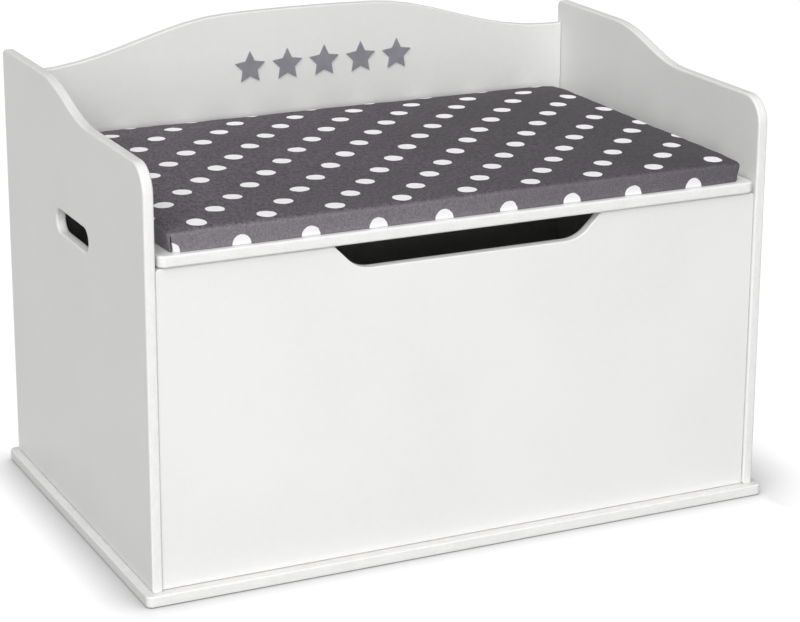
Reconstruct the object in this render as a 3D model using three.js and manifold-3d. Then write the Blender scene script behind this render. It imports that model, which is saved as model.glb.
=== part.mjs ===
// A wooden toy box with a bench lid, in millimetres: +X is the box's right, -Y is its front and +Z is up.
// The origin is on the floor, in the middle of the box. Boards are joined with cam locks, dowels and screws.
import * as THREE from 'three';
import { mergeVertices } from 'three/addons/utils/BufferGeometryUtils.js';
import Module from 'manifold-3d';

const wasm = await Module();
wasm.setup();

const FIT = 0.3; // gap left between two pieces that touch
const BOARD = 15; // thickness of the side, front and back panels
const CASE_WIDTH = 915;
const CASE_DEPTH = 575;
const BASE_THICKNESS = 16;
const BASE_LIP = 11; // how far the base stands out past the panels, all round
const SIDE_REAR_HEIGHT = 622.5;
const SIDE_FRONT_HEIGHT = 583.5;
const BACK_CENTRE_HEIGHT = 648.5;
const BACK_END_HEIGHT = 588;
const FRONT_SETBACK = 3; // front panel behind the front edges of the side panels
const FRONT_TOP = 449.3;
const LID_THICKNESS = 16;
const LID_BOTTOM = 450.5;
const LID_SIDE_GAP = 3.5;
const LID_REAR_GAP = 6;
const LID_OVERHANG = 2;
const CUSHION_THICKNESS = 32;
const CUSHION_WIDTH = 850;
const CUSHION_FRONT_INSET = 4;
const CUSHION_REAR_INSET = 30;
const PIVOT_INSET = 75; // lid pivot axis in front of the rear edges of the side panels
const HANDLE_LENGTH = 134;
const HANDLE_HEIGHT = 33;
const HANDLE_CENTRE = { y: -2.5, z: 429 };
const CUTOUT_TOP_HALF = 197.5;
const CUTOUT_DEPTH = 34;
const CUTOUT_FILLET = 20; // distance from the cut-out's lower corners to where their arcs start

const INNER_X = CASE_WIDTH / 2 - BOARD;
const FRONT_Y = -CASE_DEPTH / 2;
const REAR_Y = CASE_DEPTH / 2;
const FRONT_PANEL_Y = FRONT_Y + FRONT_SETBACK;
const BACK_PANEL_Y = REAR_Y - BOARD;
const PANEL_FOOT = BASE_THICKNESS + FIT;
const LID_TOP = LID_BOTTOM + LID_THICKNESS;
const LID_HALF = INNER_X - LID_SIDE_GAP;
const PIVOT = { y: REAR_Y - PIVOT_INSET, z: LID_BOTTOM + LID_THICKNESS / 2 };

const PANEL_END_GAP = 0.4;
const CAM = { radius: 7.5, depth: 12, fromEnd: 24, low: 90, high: 370 };
const BOLT_INTO_SIDE = 10;
const DOWEL = { radius: 4, length: 29, intoSide: 10, height: 230 };
const BASE_SCREW = { length: 50, head: 5, shank: 3.4, core: 2.4, counterbore: 5.6 };
const AXLE = { radius: 3, length: 30 };
const INSERT = { radius: 5, length: 32 };
const PLATE = { thickness: 1.5, width: 22, top: 7, bottom: 55, screws: [-22, -44] };
const BUMPER = { x: 320, radius: 4.5, stem: 2, depth: 8 };
const STRIP = { x: 300, width: 25, length: 320, thickness: 1 };
const STAR = { count: 5, pitch: 60, centreX: 35, centreZ: 564, outer: 25, inner: 12.5, thickness: 1.5 };

const HOLE_SIDES = 10;
const SCREW_SIDES = 8;

const AXIS_X = new THREE.Vector3(1, 0, 0);
const AXIS_Y = new THREE.Vector3(0, 1, 0);
const AXIS_Z = new THREE.Vector3(0, 0, 1);

function finish(name, color, roughness, metalness = 0) {
  return new THREE.MeshStandardMaterial({ name, color, roughness, metalness });
}

const paint = finish('white_paint', 0xecece8, 0.42);
const fabric = finish('grey_fabric', 0x5f5b63, 0.92);
const greyPaint = finish('grey_paint', 0x7f7f86, 0.5);
const zinc = finish('zinc_alloy', 0xa9abad, 0.38, 0.9);
const steel = finish('plated_steel', 0xb9bcc0, 0.3, 1);
const beech = finish('beech', 0xd3b183, 0.7);
const rubber = finish('clear_rubber', 0xd9d9d4, 0.6);
const tape = finish('hook_tape', 0xe4e4e0, 0.95);

const toyBox = new THREE.Group();

function addPiece(name, geometry, material) {
  const mesh = new THREE.Mesh(geometry, material);
  mesh.name = name;
  toyBox.add(mesh);
  return mesh;
}

function turn(mesh, xAxis, zAxis) {
  const yAxis = new THREE.Vector3().crossVectors(zAxis, xAxis);
  mesh.quaternion.setFromRotationMatrix(new THREE.Matrix4().makeBasis(xAxis, yAxis, zAxis));
}

function toSolid(geometry) {
  const bare = geometry.clone();
  bare.deleteAttribute('normal');
  bare.deleteAttribute('uv');
  const merged = mergeVertices(bare, 1e-3);
  return new wasm.Manifold(new wasm.Mesh({
    numProp: 3,
    vertProperties: merged.attributes.position.array,
    triVerts: Uint32Array.from(merged.index.array),
  }));
}

function toGeometry(solid) {
  const { vertProperties, triVerts } = solid.getMesh();
  const geometry = new THREE.BufferGeometry();
  geometry.setAttribute('position', new THREE.BufferAttribute(vertProperties, 3));
  geometry.setIndex(new THREE.BufferAttribute(triVerts, 1));
  geometry.computeVertexNormals();
  return geometry;
}

function cut(geometry, tools) {
  return toGeometry(tools.reduce((solid, tool) => solid.subtract(toSolid(tool)), toSolid(geometry)));
}

// A round hole tool or rod from one point to another; the far end may have its own radius.
function bore(radius, start, end, endRadius = radius, sides = HOLE_SIDES) {
  const from = new THREE.Vector3(...start);
  const to = new THREE.Vector3(...end);
  const run = new THREE.Vector3().subVectors(to, from);
  const geometry = new THREE.CylinderGeometry(endRadius, radius, run.length(), sides);
  geometry.applyQuaternion(new THREE.Quaternion().setFromUnitVectors(AXIS_Y, run.clone().normalize()));
  const middle = from.add(to).multiplyScalar(0.5);
  return geometry.translate(middle.x, middle.y, middle.z);
}

function block(size, centre) {
  return new THREE.BoxGeometry(...size).translate(...centre);
}

// A turned piece along +Z. Its profile of [radius, height] starts and ends on the axis, or closes on itself.
function turned(profile, sides) {
  const points = profile.map(([radius, height]) => new THREE.Vector2(radius, height));
  return new THREE.LatheGeometry(points, sides).rotateX(Math.PI / 2);
}

// A board lying in XY from z = 0 up, with both of its faces rounded over into its edges.
function board(outline, thickness, round, curveSegments = 9) {
  const geometry = new THREE.ExtrudeGeometry(outline, {
    depth: thickness - 2 * round,
    bevelThickness: round,
    bevelSize: round,
    bevelOffset: -round,
    bevelSegments: 3,
    curveSegments,
  });
  return geometry.translate(0, 0, round);
}

// Stands a flat board up: across X for a front or back panel, along Y for a side panel.
function standAcross(geometry, rearFaceY) {
  return geometry.rotateX(Math.PI / 2).translate(0, rearFaceY, 0);
}

function standAlong(geometry, leftFaceX) {
  const toSide = new THREE.Matrix4().makeBasis(AXIS_Y, AXIS_Z, AXIS_X);
  return geometry.applyMatrix4(toSide).translate(leftFaceX, 0, 0);
}

function roundedRectangle(left, front, right, rear, radius) {
  const shape = new THREE.Shape();
  shape.absarc(right - radius, front + radius, radius, -Math.PI / 2, 0);
  shape.absarc(right - radius, rear - radius, radius, 0, Math.PI / 2);
  shape.absarc(left + radius, rear - radius, radius, Math.PI / 2, Math.PI);
  shape.absarc(left + radius, front + radius, radius, Math.PI, 1.5 * Math.PI);
  return shape;
}

function slot(centre, length, height) {
  const radius = height / 2;
  const reach = length / 2 - radius;
  const path = new THREE.Path();
  path.absarc(centre.y + reach, centre.z, radius, -Math.PI / 2, Math.PI / 2);
  path.absarc(centre.y - reach, centre.z, radius, Math.PI / 2, 1.5 * Math.PI);
  return path;
}

// The side panel in the YZ plane: low at the front, an ogee up to the rear, and a handle slot.
function sideOutline() {
  const frontCorner = 38;
  const rearCorner = 10;
  const ogeeStart = FRONT_Y + 210;
  const ogeeEnd = FRONT_Y + 400;
  const ogeePull = 0.37 * (ogeeEnd - ogeeStart);
  const shape = new THREE.Shape();
  shape.moveTo(FRONT_Y, PANEL_FOOT);
  shape.lineTo(REAR_Y, PANEL_FOOT);
  shape.absarc(REAR_Y - rearCorner, SIDE_REAR_HEIGHT - rearCorner, rearCorner, 0, Math.PI / 2);
  shape.lineTo(ogeeEnd, SIDE_REAR_HEIGHT);
  shape.bezierCurveTo(
    ogeeEnd - ogeePull, SIDE_REAR_HEIGHT,
    ogeeStart + ogeePull, SIDE_FRONT_HEIGHT,
    ogeeStart, SIDE_FRONT_HEIGHT,
  );
  shape.absarc(FRONT_Y + frontCorner, SIDE_FRONT_HEIGHT - frontCorner, frontCorner, Math.PI / 2, Math.PI);
  shape.holes.push(slot(HANDLE_CENTRE, HANDLE_LENGTH, HANDLE_HEIGHT));
  return shape;
}

// The back panel in the XZ plane: level shoulders, an ogee on each side and a low arch between them.
function backOutline() {
  const half = INNER_X - PANEL_END_GAP;
  const shoulder = 420;
  const archHalf = 120;
  const archDrop = 2;
  const archEdge = BACK_CENTRE_HEIGHT - archDrop;
  const archFoot = archEdge - 3.3;
  const shape = new THREE.Shape();
  shape.moveTo(-half, PANEL_FOOT);
  shape.lineTo(half, PANEL_FOOT);
  shape.lineTo(half, BACK_END_HEIGHT);
  shape.lineTo(shoulder, BACK_END_HEIGHT);
  shape.bezierCurveTo(shoulder - 115, BACK_END_HEIGHT, archHalf + 100, archFoot, archHalf, archEdge);
  shape.quadraticCurveTo(0, archEdge + 2 * archDrop, -archHalf, archEdge);
  shape.bezierCurveTo(
    -archHalf - 100, archFoot,
    115 - shoulder, BACK_END_HEIGHT,
    -shoulder, BACK_END_HEIGHT,
  );
  shape.lineTo(-half, BACK_END_HEIGHT);
  return shape;
}

// The front panel in the XZ plane, with the finger cut-out in its top edge.
function frontOutline() {
  const half = INNER_X - PANEL_END_GAP;
  const floorZ = FRONT_TOP - CUTOUT_DEPTH;
  const floorHalf = CUTOUT_TOP_HALF - CUTOUT_DEPTH;
  const along = CUTOUT_FILLET * Math.SQRT1_2;
  const corner = 6;
  const shape = new THREE.Shape();
  shape.moveTo(-half, PANEL_FOOT);
  shape.lineTo(half, PANEL_FOOT);
  shape.absarc(half - corner, FRONT_TOP - corner, corner, 0, Math.PI / 2);
  shape.lineTo(CUTOUT_TOP_HALF, FRONT_TOP);
  shape.lineTo(floorHalf + along, floorZ + along);
  shape.quadraticCurveTo(floorHalf, floorZ, floorHalf - CUTOUT_FILLET, floorZ);
  shape.lineTo(CUTOUT_FILLET - floorHalf, floorZ);
  shape.quadraticCurveTo(-floorHalf, floorZ, -floorHalf - along, floorZ + along);
  shape.lineTo(-CUTOUT_TOP_HALF, FRONT_TOP);
  shape.absarc(corner - half, FRONT_TOP - corner, corner, Math.PI / 2, Math.PI);
  return shape;
}

// The two panels that stand between the sides: each one's middle plane, and which way its inner face looks.
const CROSS_PANELS = [
  { name: 'front', middle: FRONT_PANEL_Y + BOARD / 2, inward: 1 },
  { name: 'back', middle: REAR_Y - BOARD / 2, inward: -1 },
];
const SIDES = [{ name: 'left', sign: -1 }, { name: 'right', sign: 1 }];
const CAM_LEVELS = [{ name: 'lower', z: CAM.low }, { name: 'upper', z: CAM.high }];
const BASE_SCREW_SPOTS = [
  ...SIDES.flatMap(({ name, sign }) => [-200, 0, 200].map((y, index) => (
    { name: `base_screw_${name}_${index + 1}`, x: sign * (INNER_X + BOARD / 2), y }))),
  ...CROSS_PANELS.flatMap(({ name, middle }) => [-220, 220].map((x, index) => (
    { name: `base_screw_${name}_${index + 1}`, x, y: middle }))),
];

function screwHolesAbove(spots) {
  return spots.map(({ x, y }) => (
    bore(BASE_SCREW.core + FIT, [x, y, 0], [x, y, BASE_SCREW.length + 3])));
}

function camAndDowelHolesInPanel(panel) {
  const innerFace = panel.middle + panel.inward * BOARD / 2;
  const holeFloor = innerFace - panel.inward * (CAM.depth + 2 * FIT);
  const camHole = CAM.radius + 2 * FIT;
  return SIDES.flatMap(({ sign }) => {
    const camX = sign * (INNER_X - PANEL_END_GAP - CAM.fromEnd);
    const past = sign * (INNER_X + 5);
    const dowelFloor = sign * (INNER_X - (DOWEL.length - DOWEL.intoSide) - 2);
    const dowelHole = bore(
      DOWEL.radius + FIT, [dowelFloor, panel.middle, DOWEL.height], [past, panel.middle, DOWEL.height]);
    const camHoles = CAM_LEVELS.flatMap(({ z }) => [
      bore(camHole, [camX, holeFloor, z], [camX, innerFace + panel.inward, z], camHole, 16),
      bore(3.3, [camX, panel.middle, z], [past, panel.middle, z]),
    ]);
    return [dowelHole, ...camHoles];
  });
}

function jointHolesInSide(sign) {
  const inside = sign * (INNER_X - 5);
  return CROSS_PANELS.flatMap(({ middle }) => [
    bore(DOWEL.radius + FIT, [inside, middle, DOWEL.height],
      [sign * (INNER_X + DOWEL.intoSide + 1), middle, DOWEL.height]),
    ...CAM_LEVELS.map(({ z }) => (
      bore(3.1, [inside, middle, z], [sign * (INNER_X + BOLT_INTO_SIDE + 1), middle, z]))),
  ]);
}

function plateScrewHolesInSide(sign) {
  return PLATE.screws.map((drop) => bore(
    1.9, [sign * (INNER_X - 5), PIVOT.y, PIVOT.z + drop], [sign * (INNER_X + 12), PIVOT.y, PIVOT.z + drop]));
}

function addBase() {
  const outline = roundedRectangle(
    -CASE_WIDTH / 2 - BASE_LIP, FRONT_Y - BASE_LIP, CASE_WIDTH / 2 + BASE_LIP, REAR_Y + BASE_LIP, 9);
  const holes = BASE_SCREW_SPOTS.flatMap(({ x, y }) => [
    bore(BASE_SCREW.counterbore, [x, y, -1], [x, y, 4.2]),
    bore(BASE_SCREW.shank + 2 * FIT, [x, y, 3], [x, y, BASE_THICKNESS + 1]),
  ]);
  addPiece('base_board', cut(board(outline, BASE_THICKNESS, 2.5, 6), holes), paint);
}

function addSides() {
  for (const { name, sign } of SIDES) {
    const spots = BASE_SCREW_SPOTS.filter(({ x }) => Math.sign(x) === sign && Math.abs(x) > INNER_X);
    const panel = standAlong(board(sideOutline(), BOARD, 3), sign > 0 ? INNER_X : -INNER_X - BOARD);
    const holes = [...jointHolesInSide(sign), ...plateScrewHolesInSide(sign), ...screwHolesAbove(spots)];
    addPiece(`${name}_side_panel`, cut(panel, holes), paint);
  }
}

function addCrossPanels() {
  const outlines = { front: frontOutline(), back: backOutline() };
  for (const panel of CROSS_PANELS) {
    const spots = BASE_SCREW_SPOTS.filter(({ y }) => y === panel.middle);
    const geometry = standAcross(board(outlines[panel.name], BOARD, 2), panel.middle + BOARD / 2);
    const stems = panel.name === 'front' ? bumperHoles() : [];
    const holes = [...camAndDowelHolesInPanel(panel), ...screwHolesAbove(spots), ...stems];
    addPiece(`${panel.name}_panel`, cut(geometry, holes), paint);
  }
}

function addLid() {
  const outline = roundedRectangle(
    -LID_HALF, FRONT_Y - LID_OVERHANG, LID_HALF, BACK_PANEL_Y - LID_REAR_GAP, 11);
  const panel = board(outline, LID_THICKNESS, 3, 6).translate(0, 0, LID_BOTTOM);
  const holes = SIDES.map(({ sign }) => bore(
    INSERT.radius + FIT,
    [sign * (LID_HALF - INSERT.length - 2), PIVOT.y, PIVOT.z],
    [sign * (LID_HALF + 2), PIVOT.y, PIVOT.z],
    INSERT.radius + FIT,
    16,
  ));
  addPiece('lid_board', cut(panel, holes), paint);
}

// Steel plate on the inside of each side panel, with the axle that the lid turns on.
function addPivots() {
  const outline = roundedRectangle(-PLATE.width / 2, -PLATE.bottom, PLATE.width / 2, PLATE.top, 5);
  const screw = turned([[0, 0], [3, 0], [1.5, 1.6], [1.5, 9.5], [0, 12]], SCREW_SIDES);
  const insert = turned(
    [[AXLE.radius + FIT, 0], [INSERT.radius, 0], [INSERT.radius, INSERT.length],
      [AXLE.radius + FIT, INSERT.length], [AXLE.radius + FIT, 0]], 16);
  for (const { name, sign } of SIDES) {
    const outward = AXIS_X.clone().multiplyScalar(sign);
    const plateFace = INNER_X - FIT - PLATE.thickness;
    const flat = new THREE.ExtrudeGeometry(
      outline, { depth: PLATE.thickness, bevelEnabled: false, curveSegments: 4 });
    const sinks = PLATE.screws.map((drop) => bore(3.7, [0, drop, -0.1], [0, drop, 1.6], 2));
    const axle = bore(AXLE.radius, [0, 0, 0.5], [0, 0, -AXLE.length], AXLE.radius, 16);
    const plate = toSolid(cut(flat, sinks)).add(toSolid(axle));
    const plateMesh = addPiece(`pivot_plate_${name}`, toGeometry(plate), steel);
    turn(plateMesh, new THREE.Vector3().crossVectors(AXIS_Z, outward), outward);
    plateMesh.position.set(sign * plateFace, PIVOT.y, PIVOT.z);
    PLATE.screws.forEach((drop, index) => {
      const mesh = addPiece(`pivot_screw_${name}_${index + 1}`, screw, zinc);
      turn(mesh, AXIS_Y, outward);
      mesh.position.set(sign * (plateFace + 0.05), PIVOT.y, PIVOT.z + drop);
    });
    const insertMesh = addPiece(`torque_insert_${name}`, insert, zinc);
    turn(insertMesh, AXIS_Y, outward.clone().negate());
    insertMesh.position.set(sign * (LID_HALF - FIT), PIVOT.y, PIVOT.z);
  }
}

function addCamJoints() {
  const slots = [
    block([6.2, 7.4, 7.6], [-0.6, 0, -BOARD / 2]),
    block([9, 4.4, 7.6], [5.5, 0, -BOARD / 2]),
    block([9, 1.6, 3], [0, 0, 0]),
    block([1.6, 9, 3], [0, 0, 0]),
  ];
  const cam = cut(bore(CAM.radius, [0, 0, -FIT - CAM.depth], [0, 0, -FIT], CAM.radius, 16), slots);
  const boltEnd = CAM.fromEnd + PANEL_END_GAP + BOLT_INTO_SIDE;
  const bolt = turned([[0, -2], [3, -2], [3, 1.5], [1.8, 1.5], [1.8, 8.6], [2.8, 8.6],
    [2.8, boltEnd - 1.5], [1.8, boltEnd], [0, boltEnd]], SCREW_SIDES);
  const dowel = turned([[0, 0], [3.2, 0], [DOWEL.radius, 1.2], [DOWEL.radius, DOWEL.length - 1.2],
    [3.2, DOWEL.length], [0, DOWEL.length]], HOLE_SIDES);
  for (const panel of CROSS_PANELS) {
    const inward = AXIS_Y.clone().multiplyScalar(panel.inward);
    for (const { name, sign } of SIDES) {
      const outward = AXIS_X.clone().multiplyScalar(sign);
      const camX = sign * (INNER_X - PANEL_END_GAP - CAM.fromEnd);
      for (const level of CAM_LEVELS) {
        const camMesh = addPiece(`${panel.name}_cam_${name}_${level.name}`, cam, zinc);
        turn(camMesh, outward, inward);
        camMesh.position.set(camX, panel.middle + panel.inward * BOARD / 2, level.z);
        const boltMesh = addPiece(`${panel.name}_cam_bolt_${name}_${level.name}`, bolt, steel);
        turn(boltMesh, AXIS_Y, outward);
        boltMesh.position.set(camX, panel.middle, level.z);
      }
      const dowelMesh = addPiece(`${panel.name}_dowel_${name}`, dowel, beech);
      turn(dowelMesh, AXIS_Y, outward);
      const dowelStart = INNER_X + DOWEL.intoSide - DOWEL.length;
      dowelMesh.position.set(sign * dowelStart, panel.middle, DOWEL.height);
    }
  }
}

// Screws up through the base into the bottom edges of the four panels, heads sunk clear of the floor.
function addBaseScrews() {
  const { length, head, shank, core } = BASE_SCREW;
  const screw = turned([[0, 2.6], [2, 2.6], [2, 0.8], [head, 0.8], [head, 3], [shank, 4], [shank, 14.5],
    [core, 15.8], [core, length - 2], [0, length]], SCREW_SIDES);
  for (const { name, x, y } of BASE_SCREW_SPOTS) {
    addPiece(name, screw, zinc).position.set(x, y, 0);
  }
}

function bumperHoles() {
  const middle = CROSS_PANELS[0].middle;
  return SIDES.map(({ sign }) => bore(BUMPER.stem + FIT,
    [sign * BUMPER.x, middle, FRONT_TOP - BUMPER.depth - 1], [sign * BUMPER.x, middle, FRONT_TOP + 1]));
}

// Rubber buttons on the top edge of the front panel, which the closed lid rests on.
function addBumpers() {
  const headTop = LID_BOTTOM - FRONT_TOP - FIT;
  const bumper = turned([[0, -BUMPER.depth], [BUMPER.stem, -BUMPER.depth], [BUMPER.stem, FIT],
    [BUMPER.radius, FIT], [BUMPER.radius, headTop - 0.2], [BUMPER.radius - 0.4, headTop], [0, headTop]], 12);
  for (const { name, sign } of SIDES) {
    addPiece(`lid_bumper_${name}`, bumper, rubber)
      .position.set(sign * BUMPER.x, CROSS_PANELS[0].middle, FRONT_TOP);
  }
}

// The seat cushion and the hook-and-loop strips that hold it on the lid.
function addCushion() {
  const front = FRONT_Y + CUSHION_FRONT_INSET;
  const rear = REAR_Y - CUSHION_REAR_INSET;
  const middleY = (front + rear) / 2;
  const outline = roundedRectangle(-CUSHION_WIDTH / 2, front, CUSHION_WIDTH / 2, rear, 14);
  const foot = LID_TOP + FIT;
  const body = board(outline, CUSHION_THICKNESS - FIT, 10, 6).translate(0, 0, foot);
  const stack = 2 * STRIP.thickness + 2 * FIT;
  const pockets = SIDES.map(({ sign }) => block(
    [STRIP.width + 1, STRIP.length + 1, 2 * stack], [sign * STRIP.x, middleY, foot]));
  addPiece('seat_cushion', cut(body, pockets), fabric);
  for (const { name, sign } of SIDES) {
    const strip = new THREE.BoxGeometry(STRIP.width, STRIP.length, STRIP.thickness);
    const hookZ = LID_TOP + FIT + STRIP.thickness / 2;
    addPiece(`hook_strip_${name}`, strip, tape).position.set(sign * STRIP.x, middleY, hookZ);
    addPiece(`loop_strip_${name}`, strip, tape)
      .position.set(sign * STRIP.x, middleY, hookZ + STRIP.thickness + FIT);
  }
}

// Plain stars glued to the front of the backrest.
function addStars() {
  const outline = new THREE.Shape();
  for (let tip = 0; tip < 10; tip += 1) {
    const radius = tip % 2 === 0 ? STAR.outer : STAR.inner;
    const angle = Math.PI / 2 + tip * Math.PI / 5;
    const spot = [radius * Math.cos(angle), radius * Math.sin(angle)];
    if (tip === 0) {
      outline.moveTo(...spot);
    } else {
      outline.lineTo(...spot);
    }
  }
  const star = new THREE.ExtrudeGeometry(outline, {
    depth: STAR.thickness - 0.4,
    bevelThickness: 0.4,
    bevelSize: 0.4,
    bevelOffset: -0.4,
    bevelSegments: 1,
  }).translate(0, 0, 0.4).rotateX(Math.PI / 2);
  for (let index = 0; index < STAR.count; index += 1) {
    const x = STAR.centreX + (index - (STAR.count - 1) / 2) * STAR.pitch;
    addPiece(`backrest_star_${index + 1}`, star, greyPaint).position.set(x, BACK_PANEL_Y - FIT, STAR.centreZ);
  }
}

addBase();
addSides();
addCrossPanels();
addLid();
addPivots();
addCamJoints();
addBaseScrews();
addBumpers();
addCushion();
addStars();

export default toyBox;
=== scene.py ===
"""Looks of the wooden toy box: painted boards, polka-dot seat cushion, grey stars and their fittings.

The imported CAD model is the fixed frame. Boards and fittings keep their CAD meshes and get procedural
materials. The seat cushion is built here as simulated cloth with mitred corner seams.
All lengths are metres in the frame of the part: Z up, front towards -Y, origin on the floor.
"""

import math

import bmesh
import bpy
import numpy as np
from mathutils import Matrix, Vector, noise


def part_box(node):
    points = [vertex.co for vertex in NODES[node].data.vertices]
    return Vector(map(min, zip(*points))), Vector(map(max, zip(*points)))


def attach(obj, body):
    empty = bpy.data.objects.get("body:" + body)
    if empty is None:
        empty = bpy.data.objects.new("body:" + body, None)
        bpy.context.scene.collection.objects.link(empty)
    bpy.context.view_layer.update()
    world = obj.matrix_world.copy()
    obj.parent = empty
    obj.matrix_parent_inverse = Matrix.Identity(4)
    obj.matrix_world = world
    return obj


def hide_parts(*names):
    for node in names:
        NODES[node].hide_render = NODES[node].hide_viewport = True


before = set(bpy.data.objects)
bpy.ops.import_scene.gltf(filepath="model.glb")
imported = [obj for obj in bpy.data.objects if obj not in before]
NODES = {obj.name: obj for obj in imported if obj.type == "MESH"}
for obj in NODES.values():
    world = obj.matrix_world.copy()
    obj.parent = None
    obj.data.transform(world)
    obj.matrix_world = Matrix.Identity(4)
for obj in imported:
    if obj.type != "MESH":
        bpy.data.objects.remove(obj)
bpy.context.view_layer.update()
MM = 0.001

# ---------------------------------------------------------------- node helpers


class Graph:
    """A material's node tree with short calls for the nodes that the recipes here repeat."""

    def __init__(self, name):
        self.material = bpy.data.materials.new(name)
        self.material.use_nodes = True
        self.tree = self.material.node_tree
        self.tree.nodes.clear()
        self.shader = self.tree.nodes.new("ShaderNodeBsdfPrincipled")
        out = self.tree.nodes.new("ShaderNodeOutputMaterial")
        self.link(self.shader.outputs[0], out.inputs[0])

    def link(self, source, target):
        self.tree.links.new(source, target)

    def put(self, value, socket):
        """Links a socket, or sets a plain value."""
        if isinstance(value, bpy.types.NodeSocket):
            self.link(value, socket)
        else:
            socket.default_value = value

    def math(self, operation, a, b=0.0, c=0.0, clamp=False):
        node = self.tree.nodes.new("ShaderNodeMath")
        node.operation = operation
        node.use_clamp = clamp
        for value, socket in zip((a, b, c), node.inputs):
            self.put(value, socket)
        return node.outputs[0]

    def coordinates(self):
        return self.tree.nodes.new("ShaderNodeTexCoord").outputs["Object"]

    def split(self, vector):
        node = self.tree.nodes.new("ShaderNodeSeparateXYZ")
        self.put(vector, node.inputs[0])
        return node.outputs

    def join(self, x, y, z=0.0):
        node = self.tree.nodes.new("ShaderNodeCombineXYZ")
        for value, socket in zip((x, y, z), node.inputs):
            self.put(value, socket)
        return node.outputs[0]

    def scaled(self, vector, factors):
        node = self.tree.nodes.new("ShaderNodeVectorMath")
        node.operation = "MULTIPLY"
        self.put(vector, node.inputs[0])
        node.inputs[1].default_value = factors
        return node.outputs[0]

    def noise(self, vector, scale, detail=2.0, roughness=0.5, distortion=0.0):
        node = self.tree.nodes.new("ShaderNodeTexNoise")
        self.put(vector, node.inputs["Vector"])
        node.inputs["Scale"].default_value = scale
        node.inputs["Detail"].default_value = detail
        node.inputs["Roughness"].default_value = roughness
        node.inputs["Distortion"].default_value = distortion
        return node.outputs["Fac"]

    def span(self, value, low, high, new_low=0.0, new_high=1.0, smooth=True):
        node = self.tree.nodes.new("ShaderNodeMapRange")
        node.interpolation_type = "SMOOTHSTEP" if smooth else "LINEAR"
        for v, socket in zip((value, low, high, new_low, new_high), node.inputs):
            self.put(v, socket)
        return node.outputs[0]

    def mix(self, factor, first, second, blend="MIX"):
        node = self.tree.nodes.new("ShaderNodeMix")
        node.data_type = "RGBA"
        node.blend_type = blend
        self.put(factor, node.inputs[0])
        self.put(first, node.inputs[6])
        self.put(second, node.inputs[7])
        return node.outputs[2]

    def bump(self, height, distance, strength=1.0, normal=None):
        node = self.tree.nodes.new("ShaderNodeBump")
        node.inputs["Strength"].default_value = strength
        node.inputs["Distance"].default_value = distance
        self.put(height, node.inputs["Height"])
        if normal is not None:
            self.put(normal, node.inputs["Normal"])
        return node.outputs[0]

    def inside_box(self, place, low, high):
        """1 where the point lies in a box given by its two corners, in metres."""
        result = 1.0
        for value, least, most in zip(self.split(place), low, high):
            above = self.math("GREATER_THAN", value, least)
            below = self.math("LESS_THAN", value, most)
            result = self.math("MULTIPLY", self.math("MULTIPLY", above, below), result)
        return result

    def facing(self, axis):
        """How far the surface's own normal lies along an axis of the object, from 0 to 1."""
        geometry = self.tree.nodes.new("ShaderNodeTexCoord").outputs["Normal"]
        return self.math("ABSOLUTE", self.split(geometry)[axis])

    def worn_edge(self, radius):
        """About 0 on flat faces and up to 1 on edges within the radius."""
        bevel = self.tree.nodes.new("ShaderNodeBevel")
        bevel.samples = 4
        bevel.inputs["Radius"].default_value = radius
        geometry = self.tree.nodes.new("ShaderNodeNewGeometry")
        dot = self.tree.nodes.new("ShaderNodeVectorMath")
        dot.operation = "DOT_PRODUCT"
        self.link(bevel.outputs[0], dot.inputs[0])
        self.link(geometry.outputs["Normal"], dot.inputs[1])
        return self.span(dot.outputs["Value"], 0.995, 0.90)

    def finish(self, colour, roughness, normal=None, **constants):
        """Links the varying sockets and sets the rest as plain numbers on the shader."""
        self.put(colour, self.shader.inputs["Base Color"])
        self.put(roughness, self.shader.inputs["Roughness"])
        if normal is not None:
            self.put(normal, self.shader.inputs["Normal"])
        for name, value in constants.items():
            self.shader.inputs[name.replace("_", " ")].default_value = value
        return self.material


def rgb(r, g, b):
    return (r, g, b, 1.0)


# ---------------------------------------------------------------- materials


# The storage space inside the closed box, a little beyond the faces of the boards around it.
INSIDE_LOW = (-0.4435, -0.2705, 0.0150)
INSIDE_HIGH = (0.4435, 0.2735, 0.4515)
# Painted shade on level faces fades in from the first height down to the second, so only the base's top is
# darker.
SHADE_FADE_TOP = 0.030
SHADE_FADE_FULL = 0.012


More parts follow.
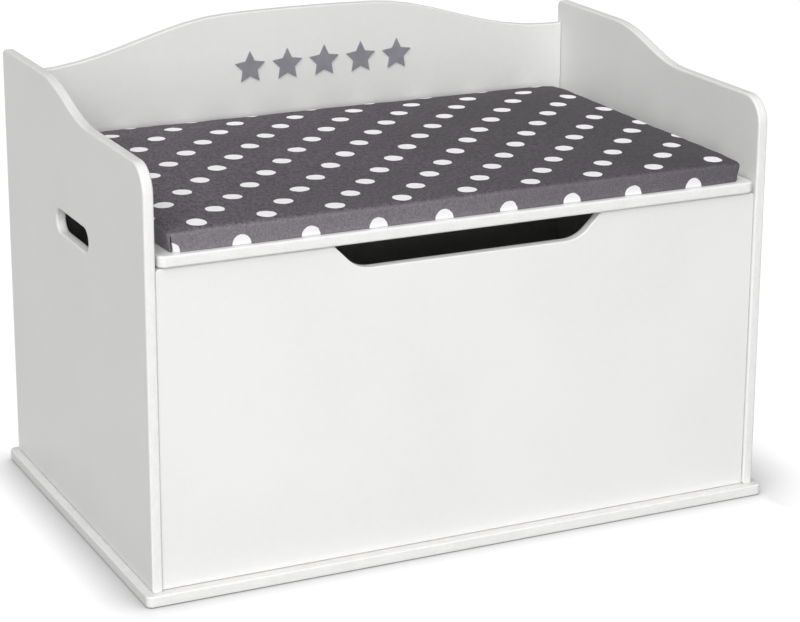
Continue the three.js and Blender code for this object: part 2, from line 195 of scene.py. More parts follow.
def board_paint(name, thin_axis):
    """Satin white lacquer on a board that is thin along one axis: smooth faces, rougher cut edges."""
    g = Graph(name)
    place = g.coordinates()
    flat = g.span(g.facing(thin_axis), 0.55, 0.95)
    cut = g.math("SUBTRACT", 1.0, flat)
    peel = g.noise(place, 520.0, 2.0, 0.55)
    roller = g.noise(place, 95.0, 3.0, 0.5)
    cloud = g.noise(place, 4.5, 3.0, 0.5)
    grain_factors = [42.0, 42.0, 42.0]
    grain_factors[thin_axis] = 125.0
    fibre = g.noise(g.scaled(place, grain_factors), 1.0, 5.0, 0.65, 0.5)
    speck = g.noise(place, 330.0, 3.0, 0.6)
    wear = g.worn_edge(2.2 * MM)
    chipped = g.math("MULTIPLY", wear, g.span(g.noise(place, 60.0, 4.0, 0.65), 0.45, 0.75))
    tone = g.mix(g.span(cloud, 0.3, 0.7), rgb(0.775, 0.775, 0.765), rgb(0.805, 0.805, 0.797))
    tone = g.mix(g.span(roller, 0.35, 0.65, 0.0, 0.25), tone, rgb(0.82, 0.82, 0.81))
    edge_tone = g.mix(g.span(fibre, 0.35, 0.7), rgb(0.765, 0.763, 0.75), rgb(0.82, 0.82, 0.812))
    edge_tone = g.mix(g.span(speck, 0.35, 0.7, 0.0, 0.45), edge_tone, rgb(0.86, 0.86, 0.852))
    tone = g.mix(flat, edge_tone, tone)
    tone = g.mix(g.math("MULTIPLY", chipped, 0.35), tone, rgb(0.70, 0.69, 0.665))
    # Painted shade: the boards' faces inside the closed box get a darker, greyer tone so that the dim
    # storage space reads darker.
    inside_painted_shade = g.mix(g.span(roller, 0.3, 0.7), rgb(0.645, 0.643, 0.635), rgb(0.675, 0.673, 0.665))
    # Painted shade: level faces low down, the top of the base, are darkened as if less light reached them.
    level = g.span(g.facing(2), 0.5, 0.9)
    low_down = g.span(g.split(place)[2], SHADE_FADE_TOP, SHADE_FADE_FULL, 0.0, 0.7)
    base_top_shade = g.math("MULTIPLY", level, low_down)
    base_top_shade_tone = g.mix(g.span(fibre, 0.3, 0.7), rgb(0.62, 0.61, 0.59), rgb(0.69, 0.685, 0.67))
    tone = g.mix(base_top_shade, tone, base_top_shade_tone)
    within = g.inside_box(place, INSIDE_LOW, INSIDE_HIGH)
    tone = g.mix(within, tone, inside_painted_shade)
    gloss = g.span(roller, 0.3, 0.7, 0.34, 0.42)
    gloss = g.math("ADD", gloss, g.math("MULTIPLY", cut, 0.08))
    gloss = g.math("ADD", gloss, g.math("MULTIPLY", chipped, 0.15))
    gloss = g.math("MULTIPLY_ADD", within, 0.25, gloss)
    fine = g.bump(peel, 0.05 * MM, 0.55)
    waves = g.bump(roller, 0.12 * MM, 0.5, fine)
    edge_height = g.math("MULTIPLY", g.math("MULTIPLY_ADD", speck, 0.35, fibre), cut)
    normal = g.bump(edge_height, 0.30 * MM, 0.5, waves)
    return g.finish(tone, gloss, normal, Specular_IOR_Level=0.45, Coat_Weight=0.08, Coat_Roughness=0.25)


def grey_paint():
    """Satin grey lacquer of the cut-out stars."""
    g = Graph("grey_star_paint")
    place = g.coordinates()
    peel = g.noise(place, 700.0, 2.0, 0.5)
    cloud = g.noise(place, 60.0, 3.0, 0.5)
    wear = g.worn_edge(0.8 * MM)
    tone = g.mix(g.span(cloud, 0.3, 0.7), rgb(0.235, 0.235, 0.262), rgb(0.262, 0.262, 0.29))
    tone = g.mix(g.math("MULTIPLY", wear, 0.35), tone, rgb(0.36, 0.36, 0.385))
    gloss = g.span(cloud, 0.3, 0.7, 0.38, 0.48)
    return g.finish(tone, gloss, g.bump(peel, 0.05 * MM, 0.5), Specular_IOR_Level=0.45)


def metal(name, dark, light, rough_low, rough_high, brushed_axis=None):
    """Cast or plated metal with a mottled or brushed surface."""
    g = Graph(name)
    place = g.coordinates()
    if brushed_axis is not None:
        factors = [1.0, 1.0, 1.0]
        factors[brushed_axis] = 0.04
        place = g.scaled(place, factors)
    mottle = g.noise(place, 900.0, 4.0, 0.6)
    cloud = g.noise(g.coordinates(), 120.0, 2.0, 0.5)
    wear = g.worn_edge(0.4 * MM)
    tone = g.mix(g.span(mottle, 0.3, 0.7), dark, light)
    tone = g.mix(g.span(cloud, 0.4, 0.7, 0.0, 0.3), tone, dark)
    tone = g.mix(g.math("MULTIPLY", wear, 0.4), tone, rgb(0.8, 0.8, 0.8))
    gloss = g.span(mottle, 0.3, 0.7, rough_low, rough_high)
    return g.finish(tone, gloss, g.bump(mottle, 0.03 * MM, 0.5), Metallic=1.0)


def beech():
    """Pale fluted dowel wood with fine grain and short flecks."""
    g = Graph("beech_wood")
    place = g.coordinates()
    grain = g.noise(g.scaled(place, (1400.0, 40.0, 1400.0)), 1.0, 4.0, 0.6)
    fleck = g.span(g.noise(g.scaled(place, (900.0, 220.0, 900.0)), 1.0, 1.0, 0.5), 0.62, 0.72)
    tone = g.mix(g.span(grain, 0.3, 0.7), rgb(0.60, 0.40, 0.21), rgb(0.74, 0.55, 0.33))
    tone = g.mix(g.math("MULTIPLY", fleck, 0.5), tone, rgb(0.45, 0.27, 0.13))
    return g.finish(tone, g.span(grain, 0.3, 0.7, 0.55, 0.7), g.bump(grain, 0.1 * MM, 0.6))


def rubber():
    """Milky clear bumper rubber."""
    g = Graph("clear_bumper_rubber")
    place = g.coordinates()
    haze = g.noise(place, 300.0, 3.0, 0.5)
    tone = g.mix(g.span(haze, 0.3, 0.7), rgb(0.66, 0.66, 0.63), rgb(0.76, 0.76, 0.73))
    return g.finish(tone, g.span(haze, 0.3, 0.7, 0.3, 0.42), g.bump(haze, 0.05 * MM, 0.4),
                    Subsurface_Weight=0.25, Subsurface_Radius=(0.003, 0.003, 0.003))


def touch_tape(name, hooked):
    """Hook or loop tape: rows of hooks, or a felt of loops, on a woven strip."""
    g = Graph(name)
    place = g.coordinates()
    pile = g.tree.nodes.new("ShaderNodeTexVoronoi")
    g.put(place, pile.inputs["Vector"])
    pile.inputs["Scale"].default_value = 900.0 if hooked else 1500.0
    spot = g.span(pile.outputs["Distance"], 0.1, 0.55)
    fuzz = g.noise(place, 2200.0, 3.0, 0.6)
    tone = g.mix(spot, rgb(0.80, 0.80, 0.77), rgb(0.58, 0.58, 0.55))
    tone = g.mix(g.span(fuzz, 0.3, 0.7, 0.0, 0.4), tone, rgb(0.70, 0.70, 0.67))
    height = g.math("ADD", g.math("SUBTRACT", 1.0, spot), g.math("MULTIPLY", fuzz, 0.5))
    return g.finish(tone, g.span(fuzz, 0.3, 0.7, 0.75, 0.9), g.bump(height, 0.4 * MM, 0.8),
                    Sheen_Weight=0.15, Sheen_Roughness=0.5)


# The print on the cushion's cover: rows of round dots, each row shifted against the last. The spacing is
# fitted to the photo. FOLD_TAKEN_UP is cloth lost in each edge's roll, set so that the flap's dots fit too.
DOT_RADIUS = 13.0 * MM
DOT_ORIGIN = (-90.0 * MM, -259.5 * MM)
DOT_PITCH = 95.5 * MM
DOT_ROW_SHIFT = 43.2 * MM
DOT_ROW_PITCH = 46.9 * MM
THREAD_PITCH = 0.62 * MM
FOLD_TAKEN_UP = 5.35 * MM
SEAM_START = 8.0 * MM
SEAM_WIDTH = 1.0 * MM
SEAM_REACH = 12.0 * MM


def wrapped(g, across, low_edge, high_edge, z, z_turn, radius):
    """Distance across the cover along the cloth: over the top, round the edge's curve, down the side."""
    inner_low, inner_high = low_edge + radius, high_edge - radius
    below = g.math("MAXIMUM", g.math("SUBTRACT", z_turn, z), 0.0)
    above = g.math("MAXIMUM", g.math("SUBTRACT", z, z_turn), 1e-5)
    result = g.math("MINIMUM", g.math("MAXIMUM", across, inner_low), inner_high)
    for past, sign in ((g.math("SUBTRACT", inner_low, across), -1.0),
                       (g.math("SUBTRACT", across, inner_high), 1.0)):
        past = g.math("MAXIMUM", past, 0.0)
        outside = g.math("GREATER_THAN", past, 1e-5)
        turn = g.math("MULTIPLY", g.math("ARCTAN2", past, above), radius - FOLD_TAKEN_UP / math.pi * 2)
        fall = g.math("MULTIPLY", g.math("ADD", turn, below), outside)
        result = g.math("ADD", result, g.math("MULTIPLY", fall, sign))
    return result


def cover_coordinates(g, low, high, radius):
    """(u, v) on the cloth, split at the mitred corner seams as the sewn cover is, and a mask of painted
    shade in the seams' gaps.
    """
    x, y, z = g.split(g.coordinates())
    z_turn = high.z - radius
    to_side = g.math("MINIMUM", g.math("SUBTRACT", x, low.x), g.math("SUBTRACT", high.x, x))
    to_front = g.math("MINIMUM", g.math("SUBTRACT", y, low.y), g.math("SUBTRACT", high.y, y))
    on_side = g.math("LESS_THAN", to_side, to_front)
    on_front = g.math("SUBTRACT", 1.0, on_side)
    u_fall = wrapped(g, x, low.x, high.x, z, z_turn, radius)
    v_fall = wrapped(g, y, low.y, high.y, z, z_turn, radius)
    u = g.math("ADD", g.math("MULTIPLY", u_fall, on_side), g.math("MULTIPLY", x, on_front))
    v = g.math("ADD", g.math("MULTIPLY", y, on_side), g.math("MULTIPLY", v_fall, on_front))
    # Painted shade: a near-black line in the open gap of each mitred corner seam, below the top edge.
    into_seam = g.math("ABSOLUTE", g.math("SUBTRACT", to_side, to_front))
    seam_gap_shade = g.span(into_seam, SEAM_WIDTH, 0.35 * SEAM_WIDTH)
    near_corner = g.math("LESS_THAN", g.math("MINIMUM", to_side, to_front), SEAM_REACH)
    seam_gap_shade = g.math("MULTIPLY", seam_gap_shade, near_corner)
    depth = g.math("SUBTRACT", high.z, z)
    seam_gap_shade = g.math("MULTIPLY", seam_gap_shade, g.span(depth, SEAM_START, SEAM_START + 3.0 * MM))
    return u, v, seam_gap_shade


def dot_mask(g, u, v, place):
    """1 inside a printed dot, with the slightly uneven outline that a screen print has."""
    wobble = g.noise(place, 75.0, 2.0, 0.5)
    rough = g.noise(place, 900.0, 2.0, 0.6)
    row = g.math("DIVIDE", g.math("SUBTRACT", v, DOT_ORIGIN[1]), DOT_ROW_PITCH)
    row_index = g.math("ROUND", row)
    shift = g.math("MULTIPLY_ADD", row_index, DOT_ROW_SHIFT, DOT_ORIGIN[0])
    column = g.math("DIVIDE", g.math("SUBTRACT", u, shift), DOT_PITCH)
    away_u = g.math("MULTIPLY", g.math("SUBTRACT", column, g.math("ROUND", column)), DOT_PITCH)
    away_v = g.math("MULTIPLY", g.math("SUBTRACT", row, row_index), DOT_ROW_PITCH)
    square = g.math("ADD", g.math("MULTIPLY", away_u, away_u), g.math("MULTIPLY", away_v, away_v))
    distance = g.math("SQRT", square)
    distance = g.math("MULTIPLY_ADD", g.math("SUBTRACT", wobble, 0.5), 3.4 * MM, distance)
    distance = g.math("MULTIPLY_ADD", g.math("SUBTRACT", rough, 0.5), 0.5 * MM, distance)
    return g.span(distance, DOT_RADIUS + 0.2 * MM, DOT_RADIUS - 0.2 * MM)


def weave_height(g, u, v):
    """Plain weave: warp and weft threads that pass over each other in turn."""
    turn = math.pi / THREAD_PITCH
    warp = g.math("ABSOLUTE", g.math("SINE", g.math("MULTIPLY", u, turn)))
    weft = g.math("ABSOLUTE", g.math("SINE", g.math("MULTIPLY", v, turn)))
    over = g.math("MULTIPLY", g.math("SINE", g.math("MULTIPLY", u, turn)),
                  g.math("SINE", g.math("MULTIPLY", v, turn)))
    over = g.math("GREATER_THAN", over, 0.0)
    return g.math("ADD", g.math("MULTIPLY", warp, over),
                  g.math("MULTIPLY", weft, g.math("SUBTRACT", 1.0, over)))


def printed_cotton(name, low, high, radius):
    """Grey cotton with white printed dots. The print follows the cloth over its edges."""
    g = Graph(name)
    place = g.coordinates()
    u, v, seam_gap_shade = cover_coordinates(g, low, high, radius)
    threads = weave_height(g, u, v)
    slub = g.noise(g.join(g.math("MULTIPLY", u, 60.0), g.math("MULTIPLY", v, 1500.0)), 1.0, 3.0, 0.6)
    slub_up = g.noise(g.join(g.math("MULTIPLY", u, 1500.0), g.math("MULTIPLY", v, 60.0)), 1.0, 3.0, 0.6)
    melange = g.span(g.noise(g.scaled(place, (290.0, 125.0, 290.0)), 1.0, 4.0, 0.75), 0.34, 0.66, 0.80, 0.0)
    side_melange = g.span(g.noise(place, 420.0, 3.0, 0.7), 0.34, 0.66, 0.42, 0.0)
    cloud = g.noise(place, 9.0, 4.0, 0.55)
    lint = g.span(g.noise(place, 420.0, 2.0, 0.6), 0.60, 0.78)
    top = g.span(g.facing(2), 0.25, 0.9)
    # Painted light and shade: the grey is darker on the top and lighter on the sides, as the light falls
    # more on the front than on the top.
    grey = g.mix(g.span(cloud, 0.3, 0.7), rgb(0.172, 0.152, 0.176), rgb(0.198, 0.176, 0.202))
    side = g.mix(g.span(cloud, 0.3, 0.7), rgb(0.285, 0.264, 0.292), rgb(0.312, 0.290, 0.320))
    grey = g.mix(top, side, grey)
    # Painted shade: the grey darkens from left to right across the cushion, as if the light fell off
    # towards the right.
    rightward_shade = g.span(g.split(place)[0], low.x, high.x, 0.0, 1.0, smooth=False)
    grey = g.mix(rightward_shade, grey, g.mix(1.0, grey, rgb(0.50, 0.50, 0.51), "MULTIPLY"))
    lines = g.math("ADD", g.math("MULTIPLY", slub, 0.5), g.math("MULTIPLY", slub_up, 0.5))
    grey = g.mix(g.span(lines, 0.35, 0.65, 0.0, 0.30), grey, rgb(0.085, 0.077, 0.086))
    marled = g.math("MULTIPLY_ADD", g.math("SUBTRACT", melange, side_melange), top, side_melange)
    grey = g.mix(marled, grey, rgb(0.05, 0.045, 0.052))
    grey = g.mix(g.math("MULTIPLY", lint, 0.22), grey, rgb(0.24, 0.225, 0.24))
    grey = g.mix(g.span(threads, 0.0, 0.9, 0.22, 0.0), grey, rgb(0.03, 0.028, 0.03))
    white = g.mix(g.span(lines, 0.3, 0.7), rgb(0.95, 0.945, 0.95), rgb(0.98, 0.975, 0.98))
    # Painted shade: the white dots are a little darker on the sides than on the top.
    white = g.mix(top, rgb(0.84, 0.83, 0.84), white)
    white = g.mix(g.span(threads, 0.0, 0.9, 0.06, 0.0), white, rgb(0.5, 0.49, 0.5))
    colour = g.mix(dot_mask(g, u, v, place), grey, white)
    # Painted shade in the corner seams' open gaps.
    colour = g.mix(seam_gap_shade, colour, rgb(0.02, 0.018, 0.02))
    weave = g.bump(threads, 0.10 * MM, 0.6)
    uneven = g.bump(lines, 0.20 * MM, 0.35, weave)
    crumple = g.bump(g.noise(place, 38.0, 3.0, 0.5), 0.8 * MM, 0.4, uneven)
    return g.finish(colour, g.span(lines, 0.3, 0.7, 0.82, 0.92), crumple,
                    Specular_IOR_Level=0.22, Sheen_Weight=0.06, Sheen_Roughness=0.45)


def studio_floor():
    """Pale seamless floor that glows evenly white, with a painted soft shadow, its glow dimmed by ambient
    occlusion, only where something stands close.
    """
    g = Graph("studio_floor")
    cloud = g.noise(g.coordinates(), 1.5, 2.0, 0.5)
    tone = g.mix(g.span(cloud, 0.3, 0.7), rgb(0.19, 0.19, 0.19), rgb(0.21, 0.21, 0.21))
    x = g.split(g.coordinates())[0]
    # Painted shadow: beside the box the dimming reaches further and goes deeper, and reaches furthest on
    # its right side.
    beside = g.span(g.math("ABSOLUTE", x), 0.455, 0.475)
    to_right = g.math("GREATER_THAN", x, 0.0)
    reach = g.math("MULTIPLY", beside, g.math("MULTIPLY_ADD", to_right, 0.055, 0.02))
    near = g.tree.nodes.new("ShaderNodeAmbientOcclusion")
    near.samples = 16
    g.put(g.math("ADD", reach, 0.06), near.inputs["Distance"])
    depth = g.math("MULTIPLY_ADD", beside, 0.7, 1.0)
    glow = g.math("MULTIPLY", g.math("POWER", near.outputs["AO"], depth), 0.88)
    g.put(glow, g.shader.inputs["Emission Strength"])
    g.shader.inputs["Emission Color"].default_value = rgb(1.0, 1.0, 1.0)
    return g.finish(tone, 0.9, Specular_IOR_Level=0.05)


# ---------------------------------------------------------------- CAD nodes

CREASE_ANGLE = math.radians(38.0)


def soften_normals(node):
    """Gives a faceted CAD mesh smooth rounds and flat faces, through its corner normals alone."""
    mesh = node.data
    count = len(mesh.polygons)
    corners = len(mesh.loops)
    points = np.zeros(len(mesh.vertices) * 3)
    mesh.vertices.foreach_get("co", points)
    points = points.reshape(-1, 3)
    normals = np.zeros(count * 3)
    mesh.polygons.foreach_get("normal", normals)
    normals = normals.reshape(-1, 3)
    areas = np.zeros(count)
    mesh.polygons.foreach_get("area", areas)
    owner = np.repeat(np.arange(count), [p.loop_total for p in mesh.polygons])
    vertex = np.zeros(corners, dtype=np.int64)
    mesh.loops.foreach_get("vertex_index", vertex)
    plane_offset = (points[vertex[np.searchsorted(owner, np.arange(count))]] * normals).sum(1)
    keys = np.round(np.column_stack([normals * 50.0, plane_offset * 5000.0])).astype(np.int64)
    _, plane = np.unique(keys, axis=0, return_inverse=True)
    plane = plane.reshape(-1)
    weight = np.bincount(plane, areas)[plane]
    _, place = np.unique(np.round(points[vertex] * 1e6).astype(np.int64), axis=0, return_inverse=True)
    place = place.reshape(-1)
    order = np.argsort(place, kind="stable")
    starts = np.searchsorted(place[order], np.arange(place.max() + 2))
    limit = math.cos(CREASE_ANGLE)
    result = np.zeros((corners, 3))
    for spot in range(len(starts) - 1):
        here = order[starts[spot]:starts[spot + 1]]
        own = normals[owner[here]]
        alike = (own @ own.T) > limit
        blended = (alike * weight[owner[here]][None, :]) @ own
        result[here] = blended / np.maximum(np.linalg.norm(blended, axis=1), 1e-12)[:, None]
    mesh.polygons.foreach_set("use_smooth", np.ones(count, dtype=bool))
    mesh.normals_split_custom_set([tuple(n) for n in result])


def paint_cad_nodes():
    """Each CAD node's material, by the name of the node."""
    boards = {"left_side_panel": 0, "right_side_panel": 0, "front_panel": 1, "back_panel": 1,
              "lid_board": 2, "base_board": 2}
    paints = [board_paint(f"white_lacquer_{'xyz'[axis]}", axis) for axis in range(3)]
    star = grey_paint()
    zinc = metal("cast_zinc", rgb(0.34, 0.35, 0.36), rgb(0.50, 0.51, 0.52), 0.38, 0.55)
    plated = metal("zinc_plated_steel", rgb(0.44, 0.46, 0.49), rgb(0.60, 0.62, 0.65), 0.24, 0.38, 0)
    finishes = {
        "cam_bolt": plated,
        "cam": zinc,
        "dowel": beech(),
        "screw": plated,
        "pivot_plate": plated,
        "torque_insert": zinc,
        "bumper": rubber(),
        "hook_strip": touch_tape("hook_tape", True),
        "loop_strip": touch_tape("loop_tape", False),
    }
    for name, node in NODES.items():
        if name in boards:
            material = paints[boards[name]]
        elif name.startswith("backrest_star"):
            material = star
        else:
            material = next((m for key, m in finishes.items() if key in name), None)
        if material is not None:
            for slot in node.material_slots:
                slot.material = material
        soften_normals(node)


# ---------------------------------------------------------------- seat cushion

CUSHION_LOW, CUSHION_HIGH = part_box("seat_cushion")
EDGE_ROUND = 7.0 * MM
CORNER_ROUND = 11.0 * MM
FINE_ROWS = 5
GRID_PITCH = 8.0 * MM
SIDE_ROWS = 6
CLOTH_INSET = 0.8 * MM
CLOTH_TOP_DROP = 1.2 * MM
SWELL_CAP = 1.8 * MM
SEAM_DEPTH = 2.0 * MM
CORNER_SAG = 3.4 * MM
CORNER_SAG_REACH = 26.0 * MM
TUCK = 4.0 * MM
CROWN_RISE = 0.8 * MM
SIDE_DRAW = 2.0 * MM
SEAM_SPREAD = 1.2 * MM
CLOTH_FRAMES = 20
# A shallow hollow behind the front edge, fitted so that the rows of dots fall closer to the photo's. The
# photo doesn't show the hollow itself, and an uneven print would explain the rows as well.
SAT_IN = 3.0 * MM
SAT_IN_PLACE = -165.0 * MM
SAT_IN_REACH = 130.0 * MM
ROLL_END = 15.0 * MM
ROLL_EASE = 50.0 * MM
# Heights of the broad, small and tiny waves on the cover, in millimetres.
BROAD_WAVE = 0.7
SMALL_WAVE = 0.35
TINY_WAVE = 0.30


def object_from(mesh_or_bmesh, name, material):
    if isinstance(mesh_or_bmesh, bmesh.types.BMesh):
        mesh = bpy.data.meshes.new(name)
        mesh_or_bmesh.to_mesh(mesh)
        mesh_or_bmesh.free()
    else:
        mesh = mesh_or_bmesh
        mesh.name = name
    made = bpy.data.objects.new(name, mesh)
    bpy.context.scene.collection.objects.link(made)
    mesh.materials.clear()
    mesh.materials.append(material)
    mesh.polygons.foreach_set("use_smooth", np.ones(len(mesh.polygons), dtype=bool))
    return made


def applied(piece):
    """Replaces a piece's mesh with what its modifiers make of it."""
    depsgraph = bpy.context.evaluated_depsgraph_get()
    mesh = bpy.data.meshes.new_from_object(piece.evaluated_get(depsgraph), depsgraph=depsgraph)
    piece.modifiers.clear()
    old = piece.data
    piece.data = mesh
    bpy.data.meshes.remove(old)
    return piece


def get_points(mesh):
    points = np.zeros(len(mesh.vertices) * 3)
    mesh.vertices.foreach_get("co", points)
    return points.reshape(-1, 3)


def set_points(mesh, points):
    mesh.vertices.foreach_set("co", points.ravel())
    mesh.update()


def grid_lines(low, high, edge):
    """Grid lines across the cushion: close together over both edges and even in between."""
    rows = edge * np.linspace(0.0, 1.0, FINE_ROWS + 1)[:-1]
    count = round((high - low - 2.0 * edge) / GRID_PITCH)
    inner = np.linspace(low + edge, high - edge, count + 1)
    return np.concatenate([low + rows, inner, (high - rows)[::-1]])


def round_corners(x, y, low, high):
    """Moves a point of the square plan to the plan with round corners, ring by ring."""
    radius = CORNER_ROUND
    near_x = min(max(x, low.x + radius), high.x - radius)
    near_y = min(max(y, low.y + radius), high.y - radius)
    dx, dy = x - near_x, y - near_y
    length = math.hypot(dx, dy)
    if length < 1e-9:
        return x, y
    scale = max(abs(dx), abs(dy)) / length
    return near_x + dx * scale, near_y + dy * scale


def cushion_blank():
    """The cover before it swells: a closed grid with round edges, on the lines of the sewn cloth."""
    low = CUSHION_LOW + Vector((CLOTH_INSET, CLOTH_INSET, 0.0))
    high = CUSHION_HIGH - Vector((CLOTH_INSET, CLOTH_INSET, CLOTH_TOP_DROP))
    xs = grid_lines(low.x, high.x, CORNER_ROUND)
    ys = grid_lines(low.y, high.y, CORNER_ROUND)
    turn = np.linspace(0.0, math.pi / 2, FINE_ROWS + 1)
    foot = low.z + 1.5 * MM
    falls = [(EDGE_ROUND * (1 - math.sin(t)), high.z - EDGE_ROUND * (1 - math.cos(t))) for t in turn[1:]]
    walls = np.linspace(high.z - EDGE_ROUND, foot, SIDE_ROWS + 1)[1:]
    rings = falls + [(0.0, z) for z in walls] + [(0.8 * MM, low.z)]
    bm = bmesh.new()
    centre = (low + high) / 2
    half_x, half_y = (high.x - low.x) / 2, (high.y - low.y) / 2

    def vertex(x, y, inset, z):
        px = centre.x + (x - centre.x) * (1 - inset / half_x)
        py = centre.y + (y - centre.y) * (1 - inset / half_y)
        px, py = round_corners(px, py, low, high)
        return bm.verts.new((px, py, z))

    top = [[vertex(x, y, EDGE_ROUND, high.z) for x in xs] for y in ys]
    bottom = [[vertex(x, y, 2.0 * MM, low.z) for x in xs] for y in ys]
    rim = [(0, i) for i in range(len(xs))]
    rim += [(j, len(xs) - 1) for j in range(1, len(ys))]
    rim += [(len(ys) - 1, i) for i in range(len(xs) - 2, -1, -1)]
    rim += [(j, 0) for j in range(len(ys) - 2, 0, -1)]
    loops = [[top[j][i] for j, i in rim]]
    loops += [[vertex(xs[i], ys[j], inset, z) for j, i in rim] for inset, z in rings]
    loops.append([bottom[j][i] for j, i in rim])
    for grid, flip in ((top, False), (bottom, True)):
        for j in range(len(ys) - 1):
            for i in range(len(xs) - 1):
                face = [grid[j][i], grid[j][i + 1], grid[j + 1][i + 1], grid[j + 1][i]]
                bm.faces.new(face[::-1] if flip else face)
    for upper, lower in zip(loops, loops[1:]):
        for k in range(len(rim)):
            n = (k + 1) % len(rim)
            bm.faces.new([upper[k], lower[k], lower[n], upper[n]])
    return bm


def swell(piece):
    """Blows the cover up a little as cloth, held down over its flat underside."""
    floor = CUSHION_LOW.z + 1.5 * MM
    before = get_points(piece.data)
    held = piece.vertex_groups.new(name="held")
    held.add([int(i) for i in np.nonzero(before[:, 2] < floor)[0]], 1.0, "REPLACE")
    cloth = piece.modifiers.new("cover", "CLOTH")
    settings = cloth.settings
    settings.quality = 4
    settings.mass = 0.15
    settings.tension_stiffness = 20.0
    settings.compression_stiffness = 8.0
    settings.shear_stiffness = 8.0
    settings.bending_stiffness = 1.2
    settings.use_pressure = True
    settings.uniform_pressure_force = 4.0
    settings.vertex_group_mass = "held"
    settings.effector_weights.gravity = 0.0
    cloth.collision_settings.use_collision = False
    scene = bpy.context.scene
    for step in range(1, CLOTH_FRAMES + 1):
        scene.frame_set(step)
    applied(piece)
    scene.frame_set(1)
    after = get_points(piece.data)
    move = after - before
    length = np.linalg.norm(move, axis=1)
    capped = SWELL_CAP * np.tanh(length / SWELL_CAP)
    move *= (capped / np.maximum(length, 1e-9))[:, None]
    set_points(piece.data, before + move)


def sat_in_drop(y, front_y, across_x):
    """How far the top is pressed in at each depth: nothing over the front roll or along the two sides."""
    behind_roll = np.clip((y - front_y - ROLL_END) / ROLL_EASE, 0.0, 1.0)
    behind_roll = behind_roll ** 2 * (3.0 - 2.0 * behind_roll) * across_x
    return SAT_IN * np.exp(-((y - SAT_IN_PLACE) / SAT_IN_REACH) ** 2) * behind_roll


def corner_seam_depth(points, middle, half, height):
    """How far the cover sinks in, along X and along Y, at the sewn corners below the top edge."""
    to_x = half[0] - np.abs(points[:, 0] - middle[0])
    to_y = half[1] - np.abs(points[:, 1] - middle[1])
    at_corner = (np.maximum(to_x, to_y) < SEAM_REACH) & (height > 0.05)
    below_edge = np.clip((0.80 - height) / 0.10, 0.0, 1.0)
    seam = np.exp(-((to_x - to_y) / SEAM_SPREAD) ** 2) * below_edge
    return SEAM_DEPTH * seam * at_corner / math.sqrt(2.0)


def crown(points):
    """The foam's own shape: a low crown with a hollow near the front, drawn-in sides and corner seams."""
    low, high = np.array(CUSHION_LOW), np.array(CUSHION_HIGH)
    middle, half = (low + high) / 2, (high - low) / 2
    s = (points - middle) / half
    height = np.clip((points[:, 2] - low[2]) / (high[2] - low[2]), 0.0, 1.1)
    across = np.clip(1.0 - s[:, 0] ** 4, 0.0, 1.0) * np.clip(1.0 - s[:, 1] ** 4, 0.0, 1.0)
    out = points.copy()
    out[:, 2] += CROWN_RISE * across * height
    from_corner = np.hypot(half[0] * (1 - np.abs(s[:, 0])), half[1] * (1 - np.abs(s[:, 1])))
    out[:, 2] -= CORNER_SAG * np.exp(-(from_corner / CORNER_SAG_REACH) ** 2) * height
    out[:, 2] -= sat_in_drop(points[:, 1], low[1], np.clip(1.0 - s[:, 0] ** 4, 0.0, 1.0)) * height
    side_x = np.clip((np.abs(s[:, 0]) - 0.9) / 0.1, 0.0, 1.0) * (1.0 - s[:, 1] ** 2)
    side_y = np.clip((np.abs(s[:, 1]) - 0.86) / 0.14, 0.0, 1.0) * (1.0 - s[:, 0] ** 2)
    out[:, 0] -= np.sign(s[:, 0]) * side_x * SIDE_DRAW
    out[:, 1] -= np.sign(s[:, 1]) * side_y * SIDE_DRAW * 0.6
    low_down = np.clip(1.0 - height / 0.75, 0.0, 1.0)
    tuck = TUCK * np.exp(-(from_corner / (2.0 * CORNER_SAG_REACH)) ** 2) * low_down
    out[:, 0] -= np.sign(s[:, 0]) * tuck
    out[:, 1] -= np.sign(s[:, 1]) * tuck * 0.5
    seam = corner_seam_depth(points, middle, half, height)
    out[:, 0] -= np.sign(s[:, 0]) * seam
    out[:, 1] -= np.sign(s[:, 1]) * seam
    return out, s, height


def pucker(piece):
    """Shallow waves of the cloth, strongest along the edges."""
    points, s, height = crown(get_points(piece.data))
    near_x = np.clip((np.abs(s[:, 0]) - 0.88) / 0.12, 0.0, 1.0)
    near_y = np.clip((np.abs(s[:, 1]) - 0.82) / 0.18, 0.0, 1.0)
    for i, p in enumerate(points):
        if height[i] < 0.05:
            continue
        broad = noise.noise(Vector((p[0] * 7.0, p[1] * 7.0, 3.1)))
        small = noise.noise(Vector((p[0] * 26.0, p[1] * 26.0, 9.7)))
        tiny = noise.noise(Vector((p[0] * 62.0, p[1] * 62.0, 4.3)))
        waves = BROAD_WAVE * broad + SMALL_WAVE * small + TINY_WAVE * tiny
        p[2] += waves * MM * min(1.0, height[i] * 1.2)
        ripple_x = noise.noise(Vector((0.3, p[1] * 24.0, p[2] * 9.0)))
        ripple_y = noise.noise(Vector((p[0] * 20.0, 5.3, p[2] * 9.0)))
        p[0] += np.sign(s[i, 0]) * near_x[i] * ripple_x * 1.8 * MM
        p[1] += np.sign(s[i, 1]) * near_y[i] * ripple_y * 1.1 * MM
        p[2] += (near_x[i] * ripple_x + near_y[i] * ripple_y) * 0.5 * MM * height[i]
    points[:, 1] = np.minimum(points[:, 1], CUSHION_HIGH.y)
    points[:, 2] = np.maximum(points[:, 2], CUSHION_LOW.z)
    set_points(piece.data, points)


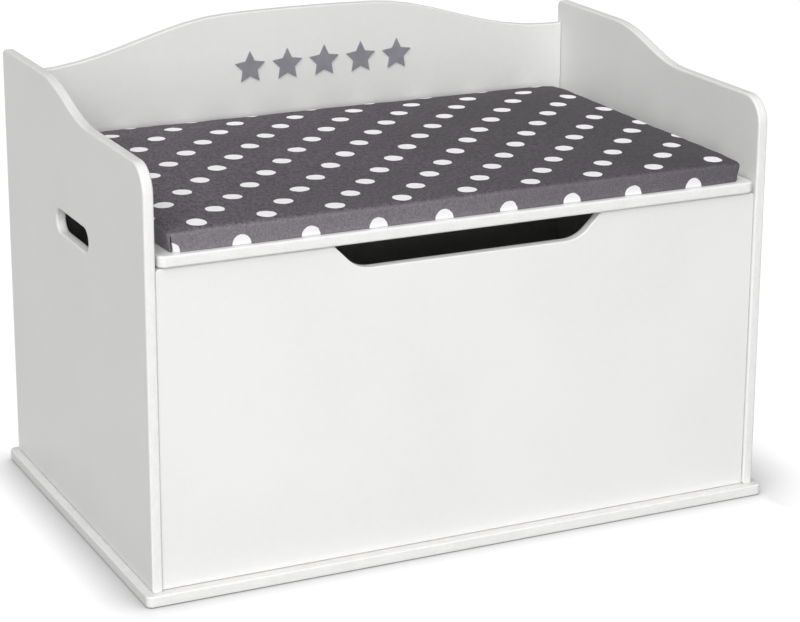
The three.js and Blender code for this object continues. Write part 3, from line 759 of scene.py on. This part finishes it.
def make_cushion():
    fabric = printed_cotton("dotted_cotton", CUSHION_LOW, CUSHION_HIGH, EDGE_ROUND)
    cushion = object_from(cushion_blank(), "seat_cushion_cover", fabric)
    swell(cushion)
    subdivide = cushion.modifiers.new("fine", "SUBSURF")
    subdivide.levels = 1
    subdivide.render_levels = 1
    applied(cushion)
    pucker(cushion)
    cushion.data.materials.clear()
    cushion.data.materials.append(fabric)
    cushion.data.polygons.foreach_set("use_smooth", np.ones(len(cushion.data.polygons), dtype=bool))
    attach(cushion, "lid")
    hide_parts("seat_cushion")
    return cushion


# ---------------------------------------------------------------- stage

FLOOR_HALF_SIZE = 30.0
FLOOR_DROP = 0.4 * MM
WORLD_STRENGTH = 0.31
SUN_AZIMUTH = -38.0
SUN_ELEVATION = 52.0
SUN_STRENGTH = 2.2
SUN_SOFTNESS = 55.0
SOFTBOX_PLACE = Vector((-0.8, -3.2, 0.5))
SOFTBOX_TARGET = Vector((0.0, -0.28, 0.3))
SOFTBOX_SIZE = 1.5
SOFTBOX_POWER = 48.0


def make_floor():
    bm = bmesh.new()
    bmesh.ops.create_grid(bm, x_segments=8, y_segments=8, size=FLOOR_HALF_SIZE)
    floor = object_from(bm, "studio_floor", studio_floor())
    floor.location = (0.0, 0.0, -FLOOR_DROP)
    floor.visible_diffuse = False


def make_sun(name, azimuth, elevation, strength, softness):
    """A soft sun from an azimuth where 0 shines on the front and negative comes from the left."""
    lamp = bpy.data.lights.new(name, "SUN")
    lamp.energy = strength
    lamp.angle = math.radians(softness)
    holder = bpy.data.objects.new(name, lamp)
    a, e = math.radians(azimuth), math.radians(elevation)
    back = Vector((math.sin(a) * math.cos(e), -math.cos(a) * math.cos(e), math.sin(e)))
    holder.rotation_euler = back.to_track_quat("Z", "Y").to_euler()
    holder.location = back * 5.0
    bpy.context.scene.collection.objects.link(holder)


def make_softbox(name, place, target, power):
    """A square soft light near the front, so that what stands further back is a little darker."""
    lamp = bpy.data.lights.new(name, "AREA")
    lamp.energy = power
    lamp.size = SOFTBOX_SIZE
    holder = bpy.data.objects.new(name, lamp)
    holder.location = place
    holder.rotation_euler = (place - target).to_track_quat("Z", "Y").to_euler()
    bpy.context.scene.collection.objects.link(holder)


def make_lights():
    world = bpy.data.worlds.new("studio")
    world.use_nodes = True
    background = world.node_tree.nodes["Background"]
    background.inputs[0].default_value = rgb(1.0, 1.0, 1.0)
    background.inputs[1].default_value = WORLD_STRENGTH
    bpy.context.scene.world = world
    make_sun("key_sun", SUN_AZIMUTH, SUN_ELEVATION, SUN_STRENGTH, SUN_SOFTNESS)
    make_softbox("front_softbox", SOFTBOX_PLACE, SOFTBOX_TARGET, SOFTBOX_POWER)


# The camera that was fitted to the photo's edges: where it stands, and the unit vectors it is turned by.
CAMERA_PLACE = Vector((-1.46644, -3.12159, 1.36042))
CAMERA_RIGHT = Vector((0.90198188, -0.43175537, 0.00399934))
CAMERA_UP = Vector((0.11868035, 0.25682013, 0.95914462))
CAMERA_BACK = Vector((-0.41514295, -0.86465642, 0.28288799))
CAMERA_LENS = 113.376
CAMERA_SHIFT_Y = -0.075


def make_camera():
    data = bpy.data.cameras.new("camera")
    data.sensor_width = 36.0
    data.sensor_fit = "HORIZONTAL"
    data.lens = CAMERA_LENS
    data.shift_y = CAMERA_SHIFT_Y
    data.clip_start = 0.05
    data.clip_end = 200.0
    camera = bpy.data.objects.new("camera", data)
    turn = Matrix((CAMERA_RIGHT, CAMERA_UP, CAMERA_BACK)).transposed().to_4x4()
    camera.matrix_world = Matrix.Translation(CAMERA_PLACE) @ turn
    bpy.context.scene.collection.objects.link(camera)
    bpy.context.scene.camera = camera


bpy.context.scene.view_settings.view_transform = "Standard"
paint_cad_nodes()
make_cushion()
make_floor()
make_lights()
make_camera()
